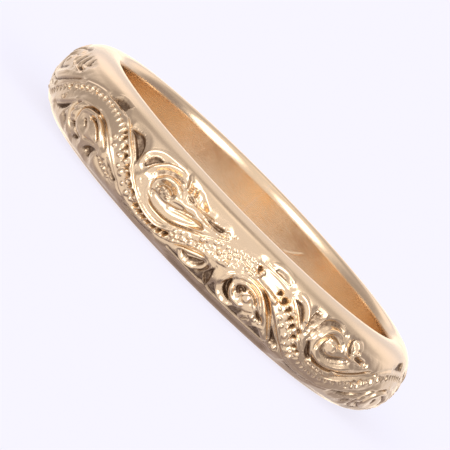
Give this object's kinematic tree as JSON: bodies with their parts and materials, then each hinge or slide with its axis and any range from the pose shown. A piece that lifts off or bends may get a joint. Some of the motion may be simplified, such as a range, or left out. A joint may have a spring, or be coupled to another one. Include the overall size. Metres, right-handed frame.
{
  "type": "wedding band",
  "caption": "Wedding band with a domed outside engraved all round with a wandering ribbon and scrolling leaves, and inner edges rounded for comfort.",
  "frame": {"origin": "on the finger axis, in the plane of the lower rim's flat, which the ring rests on", "axes": "+Z along the finger axis, up from the resting rim; -Y towards the side that the picture faces; +Y through the solder seam; +X completes the right-handed frame"},
  "size_m": [0.0212, 0.0212, 0.0038],
  "materials": {
    "gold": "polished",
    "solder": "polished"
  },
  "bodies": {
    "root": {"band_shank": "gold", "solder_seam": "solder"}
  },
  "joints": []
}
